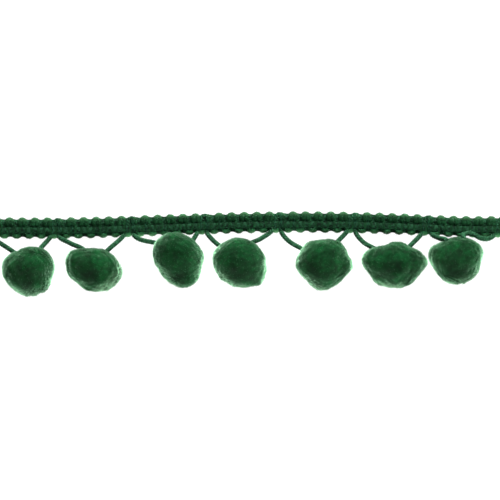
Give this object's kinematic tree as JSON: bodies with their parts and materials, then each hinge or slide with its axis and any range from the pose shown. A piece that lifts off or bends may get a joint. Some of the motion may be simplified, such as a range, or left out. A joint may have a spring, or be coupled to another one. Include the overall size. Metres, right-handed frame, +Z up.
{
  "type": "pompom fringe trim",
  "caption": "Straight length of pompom fringe trim: a narrow scalloped gimp braid with cut-pile pompoms hanging from cord loops along one edge.",
  "frame": {"origin": "centre of the bounding box, on the surface that the trim lies on", "axes": "+X along the trim, +Y across it from the pompoms to the braid, +Z up off the surface"},
  "size_m": [0.1558, 0.0241, 0.014],
  "materials": {
    "gimp_braid": "ribbed knitted gimp, dark green, slight sheen on the turns",
    "gimp_cord": "wrapped gimp cord, dark green",
    "cut_pile": "dense short cut pile, bottle green, pale at its fuzzy rim"
  },
  "bodies": {
    "root": {"braid": "gimp_braid", "cord_loop_0": "gimp_cord", "cord_loop_1": "gimp_cord", "cord_loop_2": "gimp_cord", "cord_loop_3": "gimp_cord", "cord_loop_4": "gimp_cord", "cord_loop_5": "gimp_cord", "cord_loop_6": "gimp_cord", "cord_loop_7": "gimp_cord", "pompom_1": "cut_pile", "pompom_2": "cut_pile", "pompom_3": "cut_pile", "pompom_4": "cut_pile", "pompom_5": "cut_pile", "pompom_6": "cut_pile", "pompom_7": "cut_pile"}
  },
  "joints": []
}
